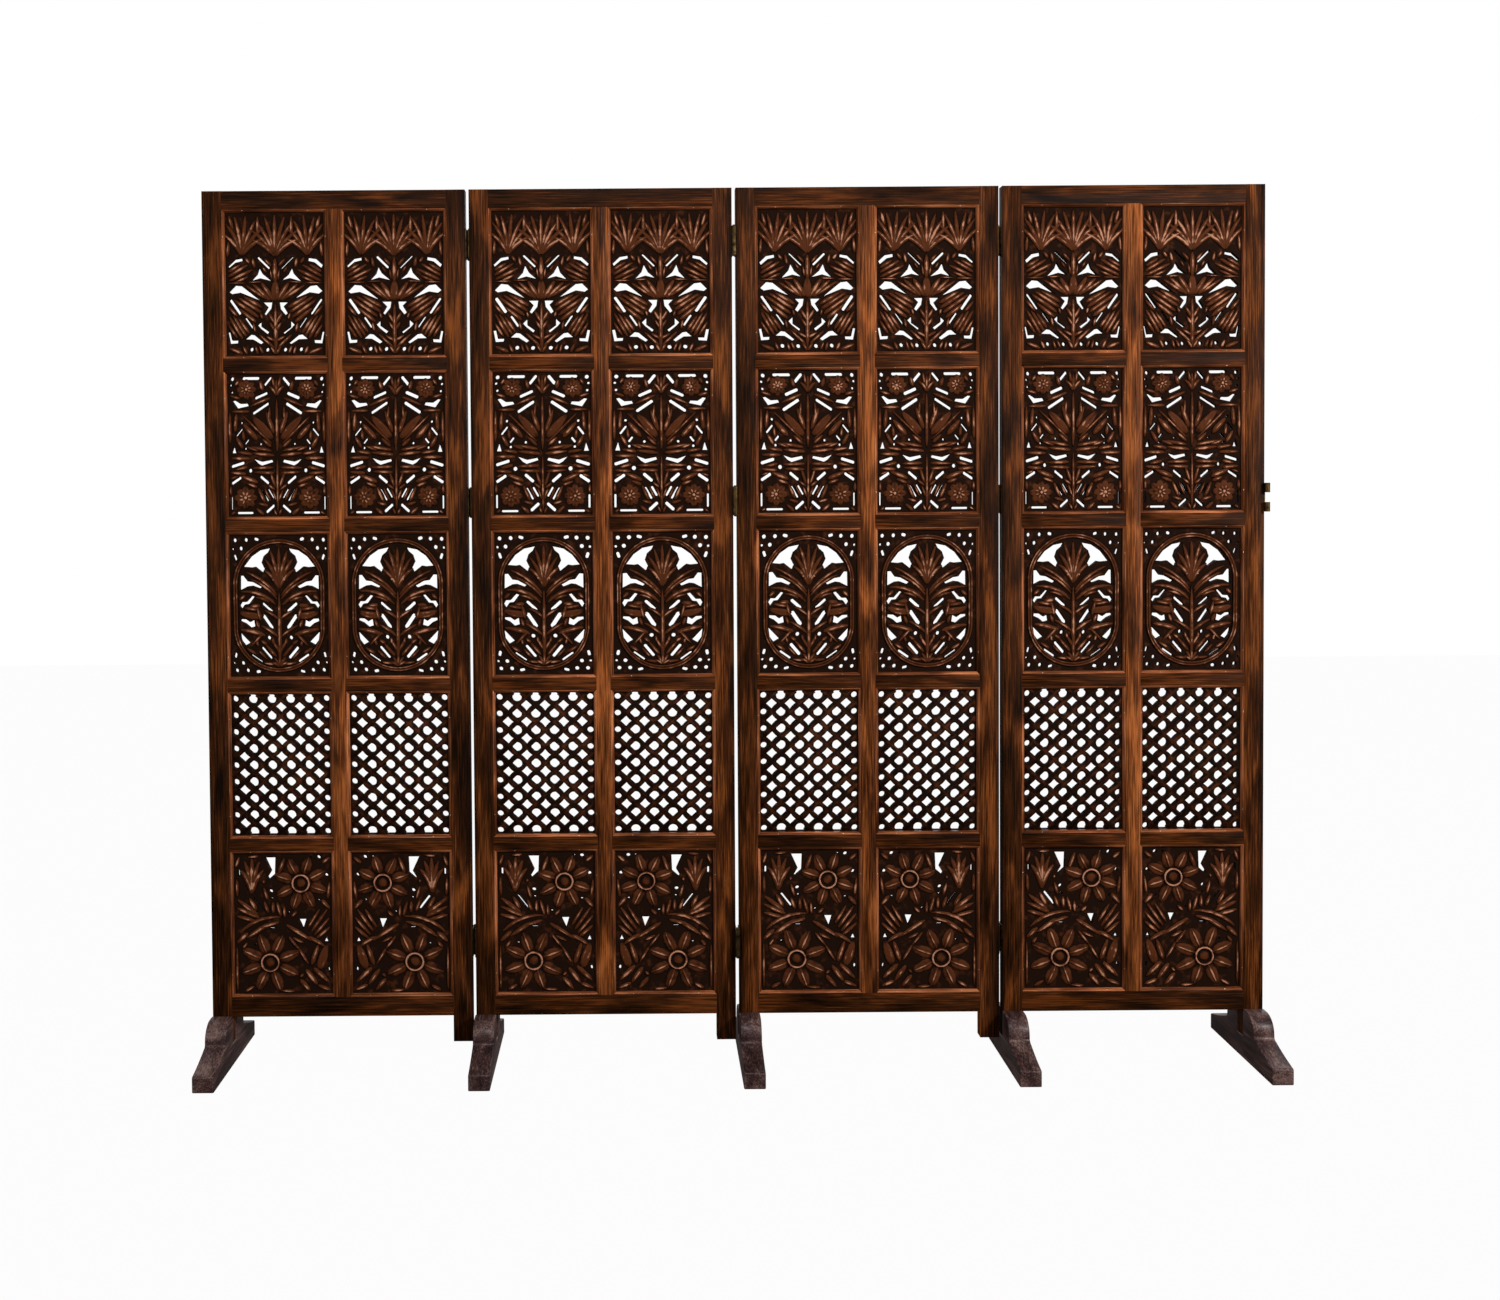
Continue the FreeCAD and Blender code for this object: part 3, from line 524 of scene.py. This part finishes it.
def addOval(bm, form):
    # the stadium band of the middle tiles, its lines as (width, height) from the rim inwards
    rings = []
    for inset in (0, form["band"] * mm):
        ring = bmesh.ops.create_circle(bm, segments=form["around"], radius=form["halfWidth"] * mm - inset)
        shift = (form["halfHeight"] - form["halfWidth"]) * mm
        for vert in ring["verts"]:
            vert.co = Vector((vert.co.x, -tileFace["ground"], vert.co.y + math.copysign(shift, vert.co.y)))
        rings += list({edge for vert in ring["verts"] for edge in vert.link_edges})
    band = bmesh.ops.bridge_loops(bm, edges=rings)["faces"]
    raised = bmesh.ops.extrude_face_region(bm, geom=band)["geom"]
    top = [item for item in raised if isinstance(item, bmesh.types.BMVert)]
    bmesh.ops.translate(bm, verts=top, vec=(0, -form["rise"] * mm, 0))
    lid = [item for item in raised if isinstance(item, bmesh.types.BMFace)]
    for width, depth in form["lines"]:
        bmesh.ops.inset_region(bm, faces=lid, thickness=width * mm, depth=depth * mm)


def addLattice(bm, form):
    # raised bars on the diagonals between the holes, each from one edge of the tile to another
    run, fall = form["columnShare"] * tileFace["width"], form["rowShare"] * tileFace["height"]
    firstRow = facePoint(0, form["firstRow"])
    for slope in (fall / run, -fall / run):
        for number in range(-form["lines"], form["lines"]):
            crossing = firstRow + Vector((number * run, 0, 0))
            ends = []
            for edge in (0, 1):
                height = facePoint(0, edge).z
                x = crossing.x - (height - crossing.z) / slope
                kept = max(-tileFace["width"] / 2, min(tileFace["width"] / 2, x))
                ends.append(Vector((kept, 0, crossing.z - (kept - crossing.x) * slope)))
            along = ends[1] - ends[0]
            if along.length < form["shortest"] * mm:
                continue
            side = sideOf(along) * form["width"] / 2 * mm
            bar = bmesh.ops.create_cone(bm, cap_ends=True, segments=form["around"],
                                        radius1=1, radius2=1, depth=1)
            for vert in bar["verts"]:
                place = ends[0] + along * (vert.co.z + 0.5) + side * vert.co.x
                vert.co = settle(place, vert.co.y, form["rise"] * mm)


# The designs. A fan is its place, aim and spread in degrees, count, reach and width, and its droop
# where it has one of its own; a blade its base (u, v), its tip (u, v), its width and its bow. A rose
# is its place, radius and petals in a whorl; a dome its place, radius and rise; a daisy its place,
# inner and outer radius, petals and the angle of the first one.
lotusDesign = {
    "rise": 4.8,
    "middleFans": [((0, 0.31), 90, 112, 9, 90, 12)],
    "middleBlades": [(0, 0.49, 0, 0.315, 14), (0, 0.62, 0, 0.475, 20), (0, 0.985, 0, 0.63, 12)],
    "fans": [((0.335, 0.305), 96, 96, 7, 88, 12)],
    "blades": [
        (0.17, 0.16, 0.17, 0.02, 10), (0.42, 0.12, 0.46, 0.02, 10), (0.478, 0.31, 0.465, 0.20, 9),
        (0.475, 0.415, 0.345, 0.362, 10), (0.48, 0.450, 0.27, 0.362, 11), (0.47, 0.480, 0.22, 0.395, 11),
        (0.41, 0.490, 0.265, 0.445, 9), (0.035, 0.375, 0.105, 0.320, 8), (0.205, 0.385, 0.225, 0.315, 9),
        (0.255, 0.355, 0.30, 0.312, 9), (0.085, 0.42, 0.125, 0.378, 6), (0.03, 0.47, 0.045, 0.395, 6),
        (0.02, 0.615, 0.14, 0.485, 15), (0.05, 0.615, 0.235, 0.492, 13), (0.08, 0.605, 0.30, 0.506, 10),
        (0.30, 0.490, 0.475, 0.492, 6), (0.13, 0.483, 0.28, 0.487, 5),
        (0.125, 0.665, 0.33, 0.582, 12), (0.135, 0.700, 0.39, 0.585, 12), (0.16, 0.735, 0.43, 0.602, 12),
        (0.19, 0.768, 0.375, 0.665, 12), (0.13, 0.745, 0.15, 0.70, 7), (0.385, 0.725, 0.478, 0.65, 9),
        (0.33, 0.885, 0.472, 0.715, 11), (0.295, 0.868, 0.43, 0.715, 11), (0.265, 0.845, 0.375, 0.735, 10),
        (0.385, 0.878, 0.475, 0.78, 9), (0.205, 0.835, 0.225, 0.765, 8),
        (0, 0.78, 0.070, 0.70, 10), (0, 0.83, 0.060, 0.765, 9), (0, 0.90, 0.10, 0.862, 9),
        (0.01, 0.95, 0.17, 0.848, 9), (0, 0.99, 0.055, 0.93, 9), (0.13, 0.985, 0.165, 0.93, 8),
        (0.18, 0.99, 0.205, 0.93, 8), (0.29, 0.99, 0.33, 0.93, 9), (0.33, 0.985, 0.475, 0.945, 11),
    ],
}
roseDesign = {
    "rise": 4.6,
    "middleFans": [((0, 0.155), 90, 74, 3, 36, 10)],
    "middleBlades": [(0, 0.555, 0, 0.155, 9), (0, 0.985, 0, 0.58, 8)],
    "fans": [],
    "blades": [
        (0.085, 0.345, 0.07, 0.225, 8), (0.045, 0.495, 0.355, 0.283, 7), (0.04, 0.460, 0.25, 0.295, 20),
        (0.03, 0.42, 0.11, 0.26, 13), (0.20, 0.462, 0.345, 0.348, 15), (0.055, 0.515, 0.150, 0.452, 10),
        (0.04, 0.54, 0.28, 0.510, 10), (0.19, 0.538, 0.31, 0.510, 9), (0.345, 0.525, 0.415, 0.440, 11),
        (0.335, 0.47, 0.345, 0.395, 9), (0.478, 0.49, 0.474, 0.26, 9), (0.425, 0.41, 0.41, 0.27, 11),
        (0.27, 0.262, 0.46, 0.262, 9), (0.06, 0.165, 0.275, 0.228, 9), (0.37, 0.172, 0.475, 0.150, 9),
        (0.14, 0.118, 0.165, 0.05, 11), (0.38, 0.045, 0.42, 0.085, 9), (0.02, 0.10, 0.04, 0.02, 8),
        (0.02, 0.572, 0.26, 0.553, 11), (0.25, 0.562, 0.405, 0.545, 10), (0.27, 0.592, 0.478, 0.590, 11),
        (0.03, 0.655, 0.26, 0.660, 10), (0.30, 0.650, 0.43, 0.672, 10), (0.03, 0.695, 0.24, 0.688, 10),
        (0.31, 0.700, 0.478, 0.690, 11), (0.19, 0.765, 0.375, 0.712, 13), (0.02, 0.800, 0.070, 0.690, 9),
        (0.02, 0.815, 0.095, 0.775, 8), (0.07, 0.895, 0.132, 0.800, 6), (0.13, 0.905, 0.20, 0.795, 10),
        (0.01, 0.895, 0.052, 0.812, 7), (0.20, 0.795, 0.31, 0.765, 10), (0.10, 0.925, 0.20, 0.905, 9),
        (0.01, 0.99, 0.04, 0.945, 7), (0.14, 0.99, 0.22, 0.94, 10), (0.43, 0.965, 0.475, 0.985, 7),
        (0.474, 0.850, 0.474, 0.785, 8), (0.40, 0.715, 0.478, 0.735, 7),
    ],
    "roses": [(0.305, 0.108, 22, 8), (0.325, 0.868, 25, 8)],
}
ovalDesign = {
    "rise": 4.6,
    "middleFans": [((0, 0.385), 90, 76, 7, 90, 12, 0.42), ((0, 0.935), 90, 120, 5, 26, 9)],
    "middleBlades": [(0, 0.93, 0, 0.39, 11)],
    "fans": [],
    "blades": [
        (0.01, 0.440, 0.350, 0.258, 9, 7), (0.01, 0.465, 0.31, 0.308, 9, 7),
        (0.02, 0.505, 0.40, 0.402, 11, 11),
        (0.345, 0.425, 0.405, 0.463, 10), (0.10, 0.478, 0.245, 0.442, 9, 3), (0.195, 0.50, 0.30, 0.505, 12),
        (0.17, 0.575, 0.410, 0.545, 17, -3), (0.215, 0.53, 0.36, 0.515, 10),
        (0, 0.602, 0.155, 0.532, 8, 2), (0.19, 0.610, 0.225, 0.505, 9), (0.01, 0.725, 0.195, 0.638, 9, 2),
        (0.14, 0.712, 0.410, 0.668, 13, 2), (0.16, 0.690, 0.295, 0.790, 8), (0.205, 0.660, 0.235, 0.60, 9),
        (0, 0.83, 0.075, 0.745, 9), (0.03, 0.865, 0.145, 0.770, 9), (0.125, 0.880, 0.215, 0.815, 7),
        (0.24, 0.842, 0.335, 0.800, 9), (0.05, 0.915, 0.17, 0.905, 8), (0.06, 0.775, 0.07, 0.73, 8),
        (0.13, 0.775, 0.19, 0.745, 9), (0.215, 0.79, 0.235, 0.74, 8),
    ],
    "domes": [(0.055, 0.318, 3.2, 5.6)],
    "oval": {"halfWidth": 95, "halfHeight": 139, "band": 8, "rise": 3.2, "around": 64,
             "lines": ((1.6, 0.6), (2.0, -2.6))},
}
daisyDesign = {
    "rise": 4.8,
    "middleFans": [],
    "middleBlades": [],
    "fans": [((-0.32, 0.292), 89, 52, 5, 78, 15)],
    "blades": [
        (-0.46, 0.575, -0.01, 0.455, 11, 12), (-0.26, 0.44, -0.47, 0.325, 14),
        (-0.24, 0.460, -0.478, 0.385, 13), (-0.28, 0.482, -0.478, 0.445, 12),
        (-0.15, 0.500, -0.38, 0.605, 13), (-0.04, 0.49, -0.25, 0.530, 10),
        (-0.36, 0.565, -0.478, 0.640, 13), (-0.10, 0.43, -0.105, 0.345, 10),
        (-0.02, 0.455, -0.065, 0.345, 10),
        (0.015, 0.460, 0.010, 0.375, 9), (0.08, 0.455, 0.14, 0.415, 9), (-0.15, 0.425, -0.195, 0.340, 10),
        (-0.27, 0.41, -0.345, 0.315, 12), (0.28, 0.565, 0.455, 0.395, 10), (0.31, 0.590, 0.478, 0.455, 10),
        (0.25, 0.535, 0.375, 0.395, 9), (0.33, 0.612, 0.478, 0.525, 11), (0.02, 0.505, 0.30, 0.630, 12),
        (0.24, 0.595, 0.43, 0.672, 12, 2), (0.36, 0.835, 0.445, 0.650, 21), (0.28, 0.805, 0.355, 0.650, 14),
        (0.05, 0.590, 0.165, 0.690, 8), (0.155, 0.68, 0.262, 0.80, 8), (0.22, 0.825, 0.345, 0.945, 14),
        (0.30, 0.815, 0.465, 0.925, 14), (0.16, 0.895, 0.27, 0.985, 13), (0.34, 0.940, 0.478, 0.978, 11),
        (-0.045, 0.15, 0.02, 0.03, 11), (0.40, 0.075, 0.478, 0.03, 10), (0.39, 0.33, 0.478, 0.40, 12),
        (-0.474, 0.985, -0.474, 0.66, 7), (-0.40, 0.985, -0.30, 0.945, 10), (0.455, 0.33, 0.478, 0.20, 9),
        (-0.465, 0.31, -0.47, 0.18, 9), (-0.155, 0.335, -0.195, 0.24, 9), (0.11, 0.985, -0.03, 0.978, 8),
        (-0.42, 0.68, -0.37, 0.635, 9), (-0.20, 0.215, -0.19, 0.19, 8), (-0.478, 0.10, -0.44, 0.02, 9),
        (-0.24, 0.02, -0.36, 0.025, 7), (0.09, 0.60, 0.21, 0.64, 8), (0.20, 0.86, 0.16, 0.885, 8),
    ],
    "daisies": [(0.184, 0.214, 17.5, 59, 8, 0.47), (-0.136, 0.778, 18, 66, 8, 0.35)],
}
# the lattice tile only has bars, on the grid of its holes
latticeDesign = {
    "rise": 0, "middleFans": [], "middleBlades": [], "fans": [], "blades": [],
    "lattice": {"columnShare": 0.19, "rowShare": 0.118, "firstRow": 0.031, "lines": 12, "shortest": 6,
                "width": 10.4, "rise": 0.9, "around": 8},
}


def reliefMesh(name, design, sides):
    # all the raised carving of one face of a tile; a side is 1 as drawn, -1 mirrored
    bm = bmesh.new()
    rise = design["rise"] * mm
    for at, aim, spread, count, reach, width, *droop in design["middleFans"]:
        addFan(bm, at, aim, spread, count, reach * mm, width * mm, rise, *droop)
    for u, v, uEnd, vEnd, width in design["middleBlades"]:
        addBlade(bm, facePoint(u, v), facePoint(uEnd, vEnd), width * mm, rise)
    for side in sides:
        for (u, v), aim, spread, count, reach, width in design["fans"]:
            addFan(bm, (side * u, v), 90 - side * (90 - aim), spread, count, reach * mm, width * mm, rise)
        for u, v, uEnd, vEnd, width, *bow in design["blades"]:
            addBlade(bm, facePoint(side * u, v), facePoint(side * uEnd, vEnd), width * mm, rise,
                     bow=-side * sum(bow) * mm)
        for u, v, radius, count in design.get("roses", []):
            addRose(bm, (side * u, v), radius * mm, count, rise)
        for u, v, radius, domeRise in design.get("domes", []):
            addDome(bm, (side * u, v), radius * mm, domeRise * mm)
        for u, v, inner, outer, count, first in design.get("daisies", []):
            addDaisy(bm, (side * u, v), inner * mm, outer * mm, count, rise, first, side)
    if "oval" in design:
        addOval(bm, design["oval"])
    if "lattice" in design:
        addLattice(bm, design["lattice"])
    bmesh.ops.recalc_face_normals(bm, faces=bm.faces)
    for face in bm.faces:
        face.smooth = True
    mesh = bpy.data.meshes.new(name)
    bm.to_mesh(mesh)
    bm.free()
    return mesh


bothHalves = (1, -1)
lotusRelief = reliefMesh("lotusRelief", lotusDesign, bothHalves)
roseRelief = reliefMesh("roseRelief", roseDesign, bothHalves)
ovalRelief = reliefMesh("ovalRelief", ovalDesign, bothHalves)
latticeRelief = reliefMesh("latticeRelief", latticeDesign, bothHalves)
daisyRelief = reliefMesh("daisyRelief", daisyDesign, (1,))
facingDaisyRelief = reliefMesh("facingDaisyRelief", daisyDesign, (-1,))
# per row: the carving on the front of the left tile and of the right tile
reliefs = {1: (lotusRelief, lotusRelief), 2: (roseRelief, roseRelief), 3: (ovalRelief, ovalRelief),
           4: (latticeRelief, latticeRelief), 5: (daisyRelief, facingDaisyRelief)}


def joinRelief(bm, relief, middle, turned):
    # one face's carving, turned half round for the back of the tile
    before = len(bm.verts)
    bm.from_mesh(relief)
    bm.verts.ensure_lookup_table()
    added = bm.verts[before:]
    if turned:
        bmesh.ops.rotate(bm, verts=added, cent=(0, 0, 0), matrix=Matrix.Rotation(math.pi, 3, "Z"))
    bmesh.ops.translate(bm, verts=added, vec=(middle.x, 0, middle.z))


def easedPlate(nodeName):
    # the pierced plate with every arris taken off
    plate = copyOfNode(nodeName)
    mesh = bpy.data.meshes.new(nodeName)
    plate.to_mesh(mesh)
    plate.free()
    piece = bpy.data.objects.new(f"{nodeName}_carved", mesh)
    bpy.context.scene.collection.objects.link(piece)
    ease(piece, easedEdges["plate"], 2)
    bpy.context.view_layer.update()
    eased = bpy.data.meshes.new_from_object(piece.evaluated_get(bpy.context.evaluated_depsgraph_get()))
    piece.modifiers.clear()
    piece.data = eased
    return piece


def carveTiles(panel, row):
    nodeName = f"{panel}_tiles_row_{row}"
    low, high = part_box(nodeName)
    piece = easedPlate(nodeName)
    bm = bmesh.new()
    bm.from_mesh(piece.data)
    middle = (low + high) / 2
    left, right = reliefs[row]
    # seen from behind, the turned carving of the other hand lies over the same openings
    for side, front, back in ((-1, left, right), (1, right, left)):
        place = middle + Vector((side * tileFace["step"] / 2, 0, 0))
        joinRelief(bm, front, place, False)
        joinRelief(bm, back, place, True)
    bm.to_mesh(piece.data)
    bm.free()
    piece.data.materials.clear()
    piece.data.materials.append(tileWood)
    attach(piece, panel)
    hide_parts(nodeName)
    # its triangles, so that the log shows how heavy the carving is
    return sum(len(face.vertices) - 2 for face in piece.data.polygons)


triangles = sum(carveTiles(panel, row) for panel in panelNames for row in reliefs)
print("tiles carved:", triangles, "triangles")

# two nails in every strip of bead, at these shares of its length from its middle
nails = {"radius": 1.0 * mm, "rise": 0.5 * mm, "inset": 3.6 * mm, "front": 11.6 * mm, "around": 8, "rings": 4,
         "alongRail": (-0.32, 0.34), "alongStile": (-0.36, 0.33)}


def addNail(bm, middle, x, z):
    made = bmesh.ops.create_uvsphere(bm, u_segments=nails["around"], v_segments=nails["rings"], radius=1)
    bmesh.ops.scale(bm, verts=made["verts"], vec=(nails["radius"], nails["rise"], nails["radius"]))
    bmesh.ops.translate(bm, verts=made["verts"], vec=(middle.x + x, -nails["front"], middle.z + z))


def nailBeads(panel):
    bm = bmesh.new()
    outX = tileFace["width"] / 2 + nails["inset"]
    outZ = tileFace["height"] / 2 + nails["inset"]
    for row in reliefs:
        low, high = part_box(f"{panel}_tiles_row_{row}")
        for side in (-1, 1):
            middle = (low + high) / 2 + Vector((side * tileFace["step"] / 2, 0, 0))
            for share in nails["alongRail"]:
                for edge in (-1, 1):
                    addNail(bm, middle, share * tileFace["width"], edge * outZ)
            for share in nails["alongStile"]:
                for edge in (-1, 1):
                    addNail(bm, middle, edge * outX, share * tileFace["height"])
    piece = addObject(panel + "_bead_nails", bm, [nailSteel], panel)


for panel in panelNames:
    nailBeads(panel)
print("beads nailed")

# Floor, light and camera
stage = {"floor": 14.0, "floorColour": "#3c3936", "floorRoughness": 0.8, "floorInGloss": 0.08, "glow": 0.975,
         "worldInGloss": 1.0, "softColour": "#ffffff", "softLight": 0.22, "backColour": "#ffffff"}
lamps = {
    "keyLight": {"place": (3.0, -2.8, 2.3), "aim": (0, 0, 0.7), "power": 190, "size": 0.6},
    "fillLight": {"place": (-3.0, -3.0, 0.6), "aim": (0, 0, 0.4), "power": 50, "size": 2.0},
    "topLight": {"place": (-0.3, -3.0, 3.1), "aim": (-0.3, -0.2, 0.1), "power": 84, "size": 0.8},
    "backLight": {"place": (1.6, 3.6, 2.6), "aim": (0, 0, 0.9), "power": 90, "size": 2.5},
}
photoCamera = {"place": (-0.206, -2.994, 1.206), "tiltDown": 1.37, "roll": 0.404, "turn": -0.055,
               "lens": 34.3, "sensor": 36, "shiftX": 0.0737, "shiftY": -0.0845}


def seenWhite(tree, inGloss):
    # 1 for the rays that see the backdrop white: camera rays, and a share of the gloss of wood and
    # brass; 0 for all others, so that it lights nothing
    path = addNode(tree, "ShaderNodeLightPath").outputs
    gloss = calculate(tree, "MULTIPLY", {1: inGloss}, {0: path["Is Glossy Ray"]})
    direct = calculate(tree, "MAXIMUM", {}, {0: path["Is Camera Ray"], 1: gloss})
    return calculate(tree, "MAXIMUM", {}, {0: direct, 1: path["Is Transmission Ray"]})


def addFloor():
    bm = bmesh.new()
    bmesh.ops.create_grid(bm, x_segments=1, y_segments=1, size=stage["floor"] / 2)
    mesh = bpy.data.meshes.new("floor")
    bm.to_mesh(mesh)
    bm.free()
    floor = bpy.data.objects.new("floor", mesh)
    bpy.context.scene.collection.objects.link(floor)
    # white to the camera but for a breath of contact shadow, a grey card to the light
    material, tree = newMaterial("paleFloor")
    card = addNode(tree, "ShaderNodeBsdfPrincipled", {
        "Base Color": srgb(stage["floorColour"]), "Roughness": stage["floorRoughness"],
        "Specular IOR Level": 0.0})
    glow = addNode(tree, "ShaderNodeEmission", {"Color": srgb(stage["backColour"]), "Strength": 1.0})
    share = calculate(tree, "MULTIPLY", {1: stage["glow"]}, {0: seenWhite(tree, stage["floorInGloss"])})
    shader = addNode(tree, "ShaderNodeMixShader",
                     links={0: share, 1: card.outputs[0], 2: glow.outputs[0]})
    finishMaterial(tree, shader)
    mesh.materials.append(material)


def setWorld():
    world = bpy.data.worlds.new("studio")
    bpy.context.scene.world = world
    world.use_nodes = True
    tree = world.node_tree
    tree.nodes.clear()
    soft = addNode(tree, "ShaderNodeBackground",
                   {"Color": srgb(stage["softColour"]), "Strength": stage["softLight"]})
    white = addNode(tree, "ShaderNodeBackground", {"Color": srgb(stage["backColour"]), "Strength": 1.0})
    seen = seenWhite(tree, stage["worldInGloss"])
    mix = addNode(tree, "ShaderNodeMixShader", links={0: seen, 1: soft.outputs[0], 2: white.outputs[0]})
    addNode(tree, "ShaderNodeOutputWorld", links={"Surface": mix.outputs[0]})


def addLamp(name, form):
    lamp = bpy.data.lights.new(name, "AREA")
    lamp.energy = form["power"]
    lamp.size = form["size"]
    holder = bpy.data.objects.new(name, lamp)
    place = Vector(form["place"])
    holder.location = place
    holder.rotation_euler = (Vector(form["aim"]) - place).to_track_quat("-Z", "Y").to_euler()
    bpy.context.scene.collection.objects.link(holder)


def addCamera():
    data = bpy.data.cameras.new("photoCamera")
    data.lens = photoCamera["lens"]
    data.sensor_width = photoCamera["sensor"]
    data.shift_x = photoCamera["shiftX"]
    data.shift_y = photoCamera["shiftY"]
    camera = bpy.data.objects.new("photoCamera", data)
    camera.location = photoCamera["place"]
    turns = (90 - photoCamera["tiltDown"], photoCamera["roll"], photoCamera["turn"])
    camera.rotation_euler = Euler([math.radians(turn) for turn in turns], "XYZ")
    bpy.context.scene.collection.objects.link(camera)
    bpy.context.scene.camera = camera


addFloor()
setWorld()
for name, form in lamps.items():
    addLamp(name, form)
addCamera()
print("stage set")
